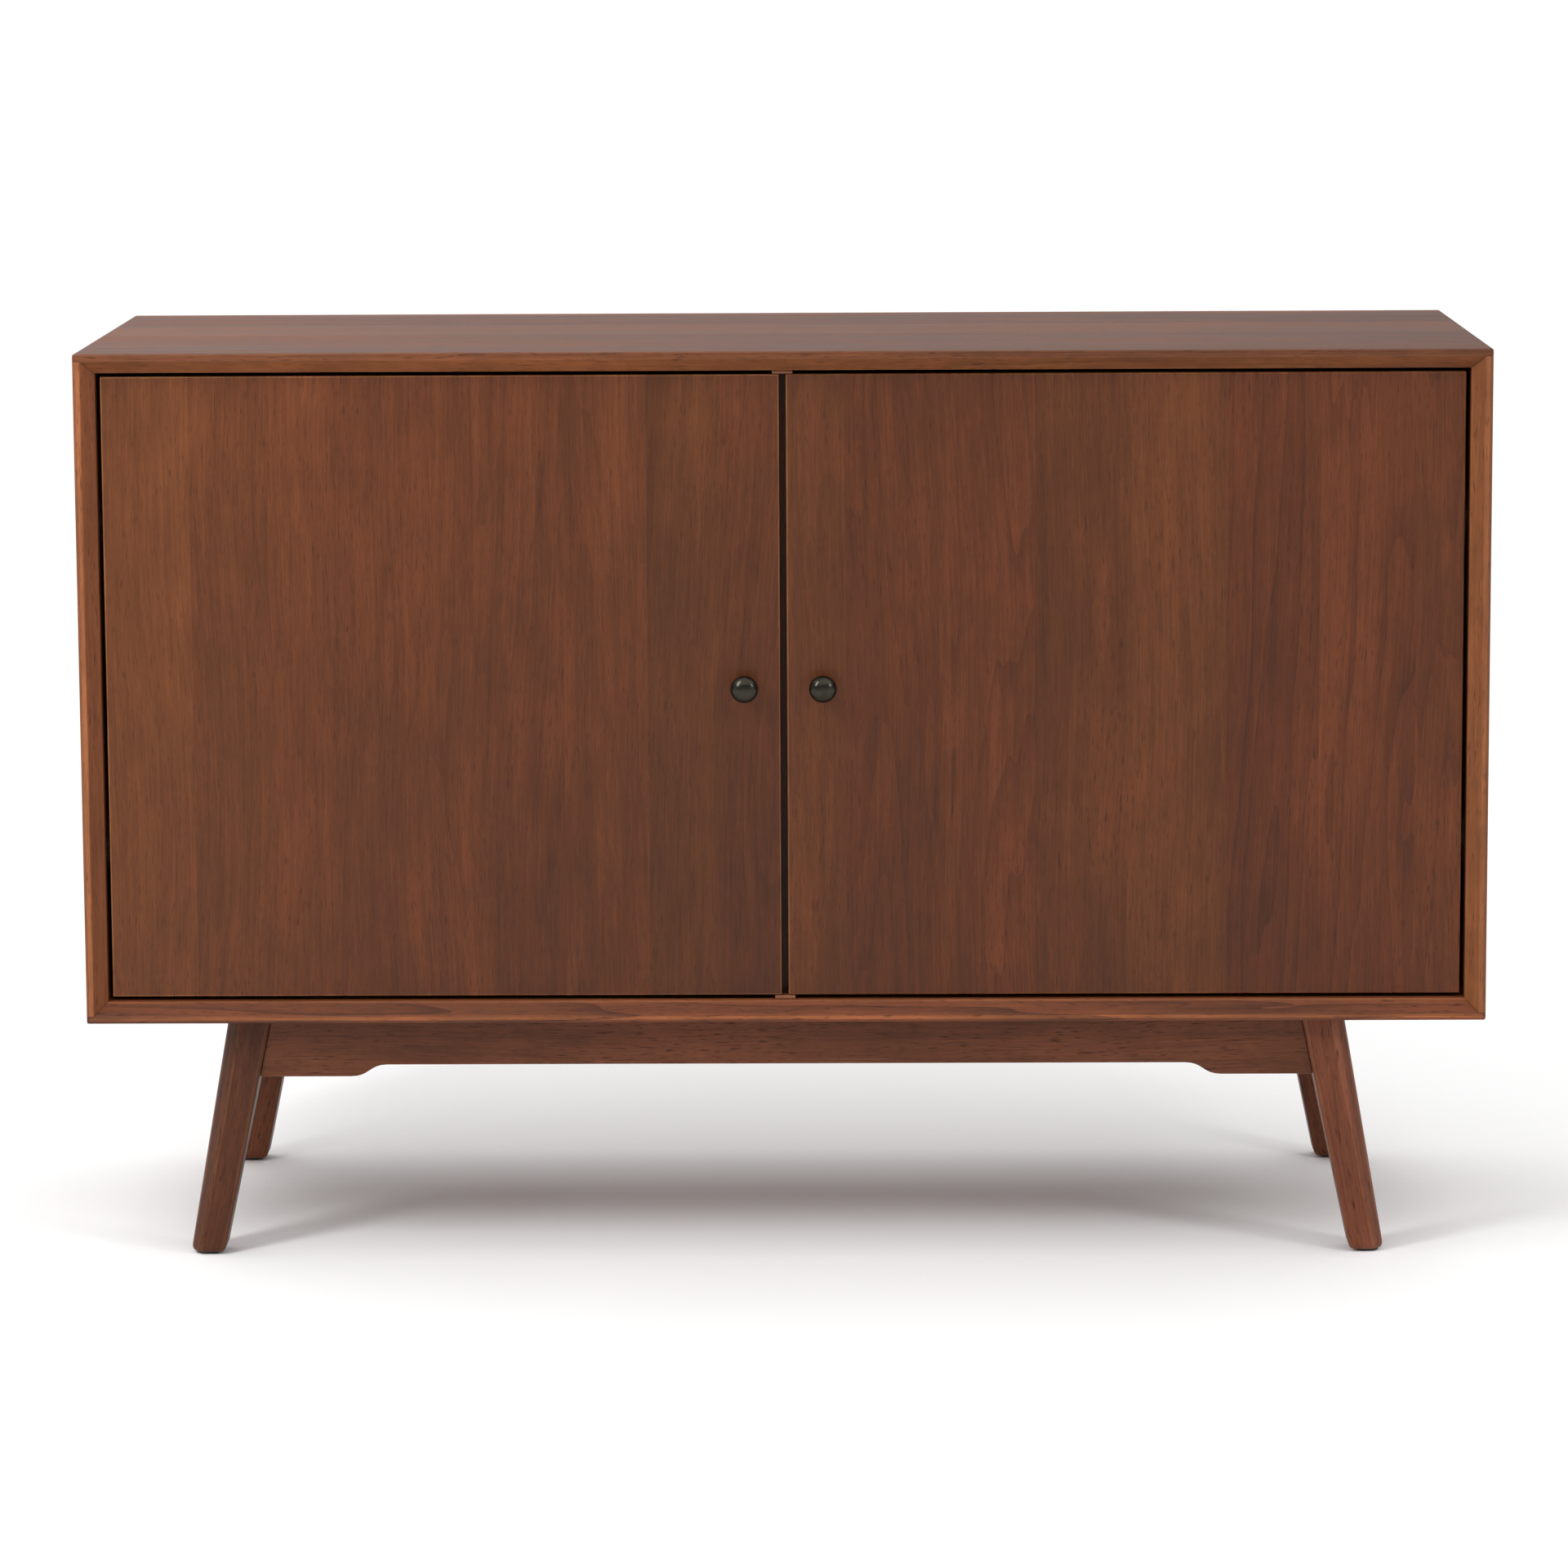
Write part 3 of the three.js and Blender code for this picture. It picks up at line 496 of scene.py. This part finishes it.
def lay_grain(mesh, grain, wear_and_painted_light):
    """Stores where each vertex lies in its board, the board's tone there (partly painted light and shade),
    and how far each face is lightened (partly wear, partly painted highlights and painted light).

    grain is the board's axes (across, through, along), where it was cut, and its row of the table of
    board tones with painted light and shade.
    """
    (across, through, along), start, (tone_low, tone_high, rise) = grain
    places = [Vector((vertex.co.dot(across), vertex.co.dot(through), vertex.co.dot(along)))
              for vertex in mesh.vertices]
    low, high = ([pick(place[axis] for place in places) for axis in range(3)] for pick in (min, max))

    def share(place, axis):
        return (place[axis] - low[axis]) / (high[axis] - low[axis])

    tones = [tone_low + (tone_high - tone_low) * share(place, 0) + rise * (share(place, 2) - 0.5)
             for place in places]
    grown = [value for place in places for value in place + start]
    mesh.attributes.new("grain", "FLOAT_VECTOR", "POINT").data.foreach_set("vector", grown)
    mesh.attributes.new("tone_and_light", "FLOAT", "POINT").data.foreach_set("value", tones)
    mesh.attributes.new("wear_and_painted_light", "FLOAT", "FACE").data.foreach_set("value", wear_and_painted_light)


def board_start(number):
    """Where a board was cut out of its plank, so that no two boards look alike."""
    return Vector((0.731 * number, 0.317 * number, 1.893 * number))


def refined(node, ease, grain=None):
    """A finer copy of a CAD node that stands for it."""
    shape = whole_mesh(node)
    if node.endswith("_leg"):
        round_foot(shape, node)
    if NODE_SLOT[node] == "case_wood":
        round_case(shape)
    ease_edges(shape, ease)
    return finished(node + "_fine", shape, NODE_BODY[node], NODE_SLOT[node], node, grain)


# ---- Wooden pieces ----

def leg_grain(node):
    """Axes across, through and along a splayed leg."""
    foot, head = leg_ends(node)
    along = (head - foot).normalized()
    through = (Y - Y.dot(along) * along).normalized()
    return (through.cross(along), through, along)


# Width of the eased edges of each kind of board
EASE = {
    "door_wood": 1.2 * MM,
    "case_wood": 0.5 * MM,
    "leg_wood": 0.8 * MM,
    "inner_wood": 0.6 * MM,
}

# How much lighter than the others a board is (below 0: darker): at the low and at the high end of its
# width, and how much that rises from end to end along its grain. Part of it is the boards' own tone,
# part is painted light and painted shade, as noted by the rows
BOARD_TONE_AND_LIGHT = {
    # the top darkens towards its right end: painted light
    "top_panel": (0.0, 0.0, -0.2),
    "left_side_panel": (0.2, 0.2, 0.0),
    "right_side_panel": (0.2, 0.2, 0.0),
    "bottom_panel": (0.16, 0.16, 0.0),
    # the divider is darkened to the shade it sits in behind the doors: painted shade
    "centre_divider": (-0.25, -0.25, 0.0),
    # the stop strips are lightened as if lit in the gap: painted light
    "upper_stop_strip": (0.3, 0.3, 0.0),
    "lower_stop_strip": (0.3, 0.3, 0.0),
    # the doors lighten towards their tops: painted light; the left door's lighter left edge is partly
    # painted light
    "left_door": (-0.04, -0.22, 0.16),
    "right_door": (-0.16, -0.13, 0.1),
    # the front left leg is darker; its darkening towards its top is painted shade under the case
    "front_left_leg": (-0.22, -0.22, -0.1),
    "front_right_leg": (0.1, 0.1, 0.0),
}


def build_boards():
    """Every wooden node, with the axes across, through and along its grain."""
    directions = {
        "top_panel": (Y, Z, X),
        "bottom_panel": (Y, Z, X),
        "left_side_panel": (Y, X, Z),
        "right_side_panel": (Y, X, Z),
        "centre_divider": (Y, X, Z),
        "back_panel": (Z, Y, X),
        "upper_stop_strip": (Y, Z, X),
        "lower_stop_strip": (Y, Z, X),
        "left_shelf": (Y, Z, X),
        "right_shelf": (Y, Z, X),
        "front_apron": (Z, Y, X),
        "rear_apron": (Z, Y, X),
        "left_side_rail": (Z, X, Y),
        "right_side_rail": (Z, X, Y),
        "left_door": (X, Y, Z),
        "right_door": (X, Y, Z),
    }
    for end_name, end in ENDS.items():
        for side_name, side in SIDES.items():
            corner = f"{end_name}_{side_name}"
            directions[corner + "_leg"] = leg_grain(corner + "_leg")
            slope = Vector((side, -end, 0)).normalized()
            directions[corner + "_brace"] = (Z, Z.cross(slope), slope)
    for number, (node, axes) in enumerate(directions.items()):
        grain = (axes, board_start(number), BOARD_TONE_AND_LIGHT.get(node, (0.0, 0.0, 0.0)))
        refined(node, EASE[NODE_SLOT[node]], grain)


# ---- Knobs ----

def lathe(profile, centre, axis, segments):
    """A bmesh turned about an axis through centre; the profile is [radius, height along axis]."""
    shape = bmesh.new()
    turn = Z.rotation_difference(axis).to_matrix().to_4x4()
    place = Matrix.Translation(centre) @ turn
    rings = []
    for radius, height in profile:
        if radius < WELD:
            rings.append([shape.verts.new(place @ Vector((0, 0, height)))])
            continue
        ring = []
        for i in range(segments):
            angle = 2 * math.pi * i / segments
            corner = Vector((radius * math.cos(angle), radius * math.sin(angle), height))
            ring.append(shape.verts.new(place @ corner))
        rings.append(ring)
    for lower, upper in zip(rings, rings[1:]):
        for i in range(segments):
            j = (i + 1) % segments
            below = [lower[i % len(lower)], lower[j % len(lower)]]
            above = [upper[j % len(upper)], upper[i % len(upper)]]
            unique = list(dict.fromkeys(below + above))
            if len(unique) > 2:
                shape.faces.new(unique)
    bmesh.ops.recalc_face_normals(shape, faces=shape.faces)
    return shape


def rounded_profile(points, steps):
    """A smooth curve through profile points (Catmull-Rom)."""
    def between(a, b, c, d, t):
        slope = (c - a) * t
        bend = (2 * a - 5 * b + 4 * c - d) * t * t
        twist = (3 * b - a - 3 * c + d) * t ** 3
        return 0.5 * (2 * b + slope + bend + twist)

    ends = [points[0], *points, points[-1]]
    made = []
    for near in zip(ends, ends[1:], ends[2:], ends[3:]):
        for i in range(steps):
            made.append(tuple(between(*values, i / steps) for values in zip(*near)))
    made.append(points[-1])
    return [(max(radius, 0.0), height) for radius, height in made]


# Profile of a knob from the door outward, in shares of its radius and of its reach
KNOB_FOOT = [(0.62, 0.0), (0.625, 0.05), (0.58, 0.075), (0.46, 0.11), (0.40, 0.16)]
KNOB_NECK = [(0.375, 0.26), (0.385, 0.36), (0.47, 0.47), (0.70, 0.54)]
KNOB_RIM = [(0.93, 0.578), (0.985, 0.605), (1.0, 0.64), (0.985, 0.672), (0.95, 0.70)]
KNOB_DOME = [(0.955, 0.72), (0.90, 0.785), (0.80, 0.845), (0.66, 0.903), (0.46, 0.954), (0.24, 0.988)]


def build_knobs():
    """Both knobs, turned on one smooth profile."""
    for side_name in SIDES:
        node = side_name + "_knob"
        low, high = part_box(node)
        centre = Vector(((low.x + high.x) / 2, high.y, (low.z + high.z) / 2))
        radius = (high.x - low.x) / 2
        reach = high.y - low.y
        shares = KNOB_FOOT + KNOB_NECK + KNOB_RIM + KNOB_DOME
        points = [(share * radius, height * reach) for share, height in shares]
        profile = [(0.0, 0.0), *rounded_profile(points, steps=4), (0.0, reach)]
        shape = lathe(profile, centre, -Y, segments=64)
        finished(node + "_fine", shape, NODE_BODY[node], "gunmetal", node)


# ---- Metal and plastic pieces ----

SCREW_SIDES = 32
# Shapes of a screw head, in shares of its radius and height
PAN_HEAD = ((1.0, 0.0), (1.0, 0.45), (0.94, 0.75), (0.78, 1.0))  # radius, height
RECESS_MOUTH = (0.56, 0.14)  # reach and half width of the cross
RECESS_PIT = (0.42, 0.09)
RECESS_FLOOR = 0.3
SCREW_TURN = 1.3  # from one screw of a row to the next, in radians
KNOB_SCREW_TURN = 0.5
SCREW_GAP = 0.1 * MM  # between a knob screw's head and the door
# Radius and height of each kind of screw head
FLANGE_SCREW = (3.6 * MM, 1.2 * MM)
PLATE_SCREW = (3.6 * MM, 1.3 * MM)
ARM_SCREW = (3.4 * MM, 1.2 * MM)
BACK_SCREW = (2.9 * MM, 0.9 * MM)
FLANGE_SCREW_STEP = 24 * MM  # from the middle of a hinge cup, up and down
PLATE_SCREW_STEP = 17 * MM  # from the middle of a hinge plate, up and down
ARM_SCREW_STEP = 11 * MM  # from the middle of a hinge plate, forward and back
ARM_THICKNESS = 8.4 * MM  # from the outer side of a hinge arm to the face with its screws
BACK_REBATE = 8 * MM  # width of the back panel's seat all round
BACK_SCREWS_ALONG = 6  # spaces between screws along the back's top and bottom
BACK_SCREWS_UP = 4  # and up its sides and its middle
METAL_EASE = 0.3 * MM  # width of the eased edges of metal and plastic
TURNED_EASE = 0.15 * MM  # of turned pins and cups
KNOB_SCREW_RADIUS = 2.0 * MM
KNOB_SCREW_TIP = 0.3 * MM  # bevel at its front end


def cross_outline(reach, half_width):
    """Corners of a plus sign, anticlockwise."""
    corners = []
    for cosine, sine in ((1, 0), (0, 1), (-1, 0), (0, -1)):
        for x, y in ((reach, -half_width), (reach, half_width), (half_width, half_width)):
            corners.append((x * cosine - y * sine, x * sine + y * cosine))
    return corners


def add_screw(shape, place, outward, radius, height, turn):
    """Adds a pan head with a cross recess, standing on place."""
    facing = Z.rotation_difference(outward).to_matrix().to_4x4() @ Matrix.Rotation(turn, 4, "Z")
    placed = Matrix.Translation(place) @ facing
    angles = [2 * math.pi * i / SCREW_SIDES for i in range(SCREW_SIDES)]
    circle = [(math.cos(angle), math.sin(angle)) for angle in angles]

    def ring(points, scale, level):
        return [shape.verts.new(placed @ Vector((x * scale, y * scale, level))) for x, y in points]

    def join(lower, upper):
        for i in range(len(lower)):
            j = (i + 1) % len(lower)
            shape.faces.new([lower[i], lower[j], upper[j], upper[i]])

    rows = [ring(circle, radius * share, height * level) for share, level in PAN_HEAD]
    for lower, upper in zip(rows, rows[1:]):
        join(lower, upper)
    shape.faces.new(list(reversed(rows[0])))
    mouth = ring(cross_outline(*RECESS_MOUTH), radius, height)
    pit = ring(cross_outline(*RECESS_PIT), radius, height * RECESS_FLOOR)
    corners = rows[-1] + mouth
    for triangle in tessellate_polygon([[vertex.co for vertex in loop] for loop in (rows[-1], mouth)]):
        shape.faces.new([corners[i] for i in triangle])
    join(mouth, pit)
    shape.faces.new(pit)


def screws(name, body, places, outward, radius, height):
    """One piece holding a row of screw heads, each stopped at its own angle."""
    shape = bmesh.new()
    for number, place in enumerate(places):
        add_screw(shape, place, outward, radius, height, SCREW_TURN * number)
    bmesh.ops.recalc_face_normals(shape, faces=shape.faces)
    return finished(name, shape, body, "nickel")


def middle_of(node):
    """Middle of a CAD node's box."""
    low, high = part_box(node)
    return (low + high) / 2


def half_size(node):
    """Half the size of a CAD node's box along each axis."""
    low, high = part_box(node)
    return (high - low) / 2


def build_hinge_screws(side_name):
    """Screws of the cup flanges in the door, of the plates in the case side, and of the arms."""
    inward = -SIDES[side_name] * X
    flange_screws = []
    plate_screws = []
    arm_screws = []
    for hinge in HINGES[side_name]:
        cup, plate, arm = (middle_of(hinge + part) for part in ("_cup", "_plate", "_arm"))
        cup_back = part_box(hinge + "_cup")[1].y
        plate_face = plate + inward * half_size(hinge + "_plate").x
        arm_face = arm - inward * (half_size(hinge + "_arm").x - ARM_THICKNESS)
        for way in (-1, 1):
            flange_screws.append(Vector((cup.x, cup_back, cup.z + way * FLANGE_SCREW_STEP)))
            plate_screws.append(plate_face + Z * way * PLATE_SCREW_STEP)
            arm_screws.append(Vector((arm_face.x, plate.y + way * ARM_SCREW_STEP, arm.z)))
    screws(f"{side_name}_flange_screws", f"{side_name}_door_leaf", flange_screws, Y, *FLANGE_SCREW)
    screws(f"{side_name}_plate_screws", "cabinet", plate_screws, inward, *PLATE_SCREW)
    screws(f"{side_name}_arm_screws", "cabinet", arm_screws, inward, *ARM_SCREW)


def build_back_screws():
    """A row round the back panel, in the middle of its rebate, and one down the divider."""
    low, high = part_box("back_panel")
    inset = BACK_REBATE / 2
    places = []
    for i in range(BACK_SCREWS_ALONG + 1):
        x = low.x + inset + (high.x - low.x - 2 * inset) * i / BACK_SCREWS_ALONG
        places += [Vector((x, high.y, low.z + inset)), Vector((x, high.y, high.z - inset))]
    for i in range(1, BACK_SCREWS_UP):
        z = low.z + (high.z - low.z) * i / BACK_SCREWS_UP
        places += [Vector((x, high.y, z)) for x in (low.x + inset, 0, high.x - inset)]
    screws("back_panel_screws", "cabinet", places, Y, *BACK_SCREW)


def build_knob_screws():
    """The screw that holds each knob: a shaft inside the door and a head on the door's back."""
    for side_name in SIDES:
        node = side_name + "_knob_screw"
        low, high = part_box(node)
        middle = middle_of(node)
        door_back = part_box(side_name + "_door")[1].y
        radius = (high.x - low.x) / 2
        seat = Vector((middle.x, door_back + SCREW_GAP, middle.z))
        reach = seat.y - low.y
        tip = [(0.0, 0.0), (KNOB_SCREW_RADIUS - KNOB_SCREW_TIP, 0.0), (KNOB_SCREW_RADIUS, KNOB_SCREW_TIP)]
        shaft = [(KNOB_SCREW_RADIUS, reach), (0.0, reach)]
        shape = lathe(tip + shaft, Vector((middle.x, low.y, middle.z)), Y, segments=24)
        add_screw(shape, seat, Y, radius, high.y - seat.y, KNOB_SCREW_TURN)
        bmesh.ops.recalc_face_normals(shape, faces=shape.faces)
        finished(node + "_fine", shape, NODE_BODY[node], "nickel", node)


def build_hardware():
    """Finer copies of the metal and plastic nodes, and the screws."""
    for node, slot in NODE_SLOT.items():
        if slot in EASE or slot == "gunmetal" or node.endswith("_knob_screw"):
            continue
        refined(node, TURNED_EASE if node.endswith(("_pin", "_cup")) else METAL_EASE)
    for side_name in SIDES:
        build_hinge_screws(side_name)
    build_knob_screws()
    build_back_screws()


# ---- Surroundings ----

FLOOR_RADIUS = 90.0


def build_floor():
    """A plain pale disc, wide enough to reach the horizon."""
    shape = bmesh.new()
    bmesh.ops.create_circle(shape, cap_ends=True, radius=FLOOR_RADIUS, segments=96)
    mesh = bpy.data.meshes.new("floor")
    shape.to_mesh(mesh)
    shape.free()
    g = Graph("floor_finish")
    place = g.add("TexCoord").outputs["Object"]
    tone = g.noise(place, 1.5, 3.0, 0.6)
    g.set(Base_Color=g.ramp(tone, ((0.86, 0.86, 0.86), (0.9, 0.9, 0.9))), Roughness=0.9)
    mesh.materials.append(g.material)
    floor = bpy.data.objects.new("floor", mesh)
    bpy.context.scene.collection.objects.link(floor)


def softbox(name, place, target, size, power):
    """A rectangular light aimed at target and hidden from the camera; the power is in watts."""
    light = bpy.data.lights.new(name, "AREA")
    light.shape = "RECTANGLE"
    light.size, light.size_y = size
    light.energy = power
    holder = bpy.data.objects.new(name, light)
    bpy.context.scene.collection.objects.link(holder)
    holder.location = place
    holder.rotation_euler = (Vector(target) - Vector(place)).to_track_quat("-Z", "Y").to_euler()
    holder.visible_camera = False


def overhead(strength, spread):
    """Light from straight above, spread over so many degrees: it hardly reaches the doors."""
    light = bpy.data.lights.new("overhead", "SUN")
    light.energy = strength
    light.angle = math.radians(spread)
    holder = bpy.data.objects.new("overhead", light)
    bpy.context.scene.collection.objects.link(holder)


def build_world(dark, bright, glow):
    """A white studio, bright behind the object and to its left, and glowing low down in front."""
    world = bpy.data.worlds.new("studio")
    bpy.context.scene.world = world
    world.use_nodes = True
    nodes, links = world.node_tree.nodes, world.node_tree.links
    place = nodes.new("ShaderNodeTexCoord").outputs["Generated"]

    def toward(direction, low, high, to_low, to_high):
        """How far each part of the sky agrees with a direction, mapped from low..high to to_low..to_high."""
        dot = nodes.new("ShaderNodeVectorMath")
        dot.operation = "DOT_PRODUCT"
        dot.inputs[1].default_value = direction
        links.new(place, dot.inputs[0])
        mapped = nodes.new("ShaderNodeMapRange")
        links.new(dot.outputs["Value"], mapped.inputs[0])
        for socket, value in zip(mapped.inputs[1:5], (low, high, to_low, to_high)):
            socket.default_value = value
        return mapped.outputs[0]

    low_glow = nodes.new("ShaderNodeMath")
    low_glow.operation = "MULTIPLY_ADD"
    links.new(toward((0, 0, 1), 0.0, 0.5, glow, 0.0), low_glow.inputs[0])
    links.new(toward((0, -1, 0), 0.0, 0.4, 0.0, 1.0), low_glow.inputs[1])
    links.new(toward((-1.2, 1, 0), 0.35, 1.6, dark, bright), low_glow.inputs[2])
    links.new(low_glow.outputs[0], nodes["Background"].inputs["Strength"])
    nodes["Background"].inputs["Color"].default_value = (1, 1, 1, 1)


def build_lights():
    build_world(dark=0.2, bright=0.7, glow=0.5)
    overhead(strength=2.8, spread=120)
    middle = (0, 0, 0.55)
    softbox("key_softbox", (-1.75, -1.75, 2.2), middle, size=(0.5, 1.6), power=37)
    softbox("fill_softbox", (2.1, -1.6, 1.6), middle, size=(0.4, 0.6), power=12)
    view = bpy.context.scene.view_settings
    view.view_transform = "Standard"
    view.look = "None"


# The camera stands nearly straight in front of the object, and looks down on its top a little
CAMERA_LENS = 125.66  # mm, on a sensor 36 mm wide
CAMERA_SHIFT = -0.1
CAMERA_RIGHT = 0.0555
CAMERA_AHEAD = 5.0605  # in front of the knobs
CAMERA_HEIGHT = 1.2955
CAMERA_ANGLES = (-0.619, 7.758, -0.298)  # degrees: turn to the right, tilt down, roll


def build_camera():
    """The camera, turned by three angles in the order turn, tilt, roll."""
    front = CAD_BOX[0].y
    camera = bpy.data.cameras.new("camera")
    camera.sensor_width = 36.0
    camera.lens = CAMERA_LENS
    camera.shift_y = CAMERA_SHIFT
    camera.dof.use_dof = False
    holder = bpy.data.objects.new("camera", camera)
    bpy.context.scene.collection.objects.link(holder)
    holder.location = (CAMERA_RIGHT, front - CAMERA_AHEAD, CAMERA_HEIGHT)
    turn, tilt, roll = (math.radians(angle) for angle in CAMERA_ANGLES)
    ahead = Vector((math.sin(turn) * math.cos(tilt), math.cos(turn) * math.cos(tilt), -math.sin(tilt)))
    right = Vector((math.cos(turn), -math.sin(turn), 0))
    up = right.cross(ahead)
    rolled_right = math.cos(roll) * right + math.sin(roll) * up
    rolled_up = math.cos(roll) * up - math.sin(roll) * right
    holder.rotation_euler = Matrix((rolled_right, rolled_up, -ahead)).transposed().to_euler()
    bpy.context.scene.camera = holder


build_camera()
build_lights()
build_floor()
build_boards()
build_knobs()
build_hardware()
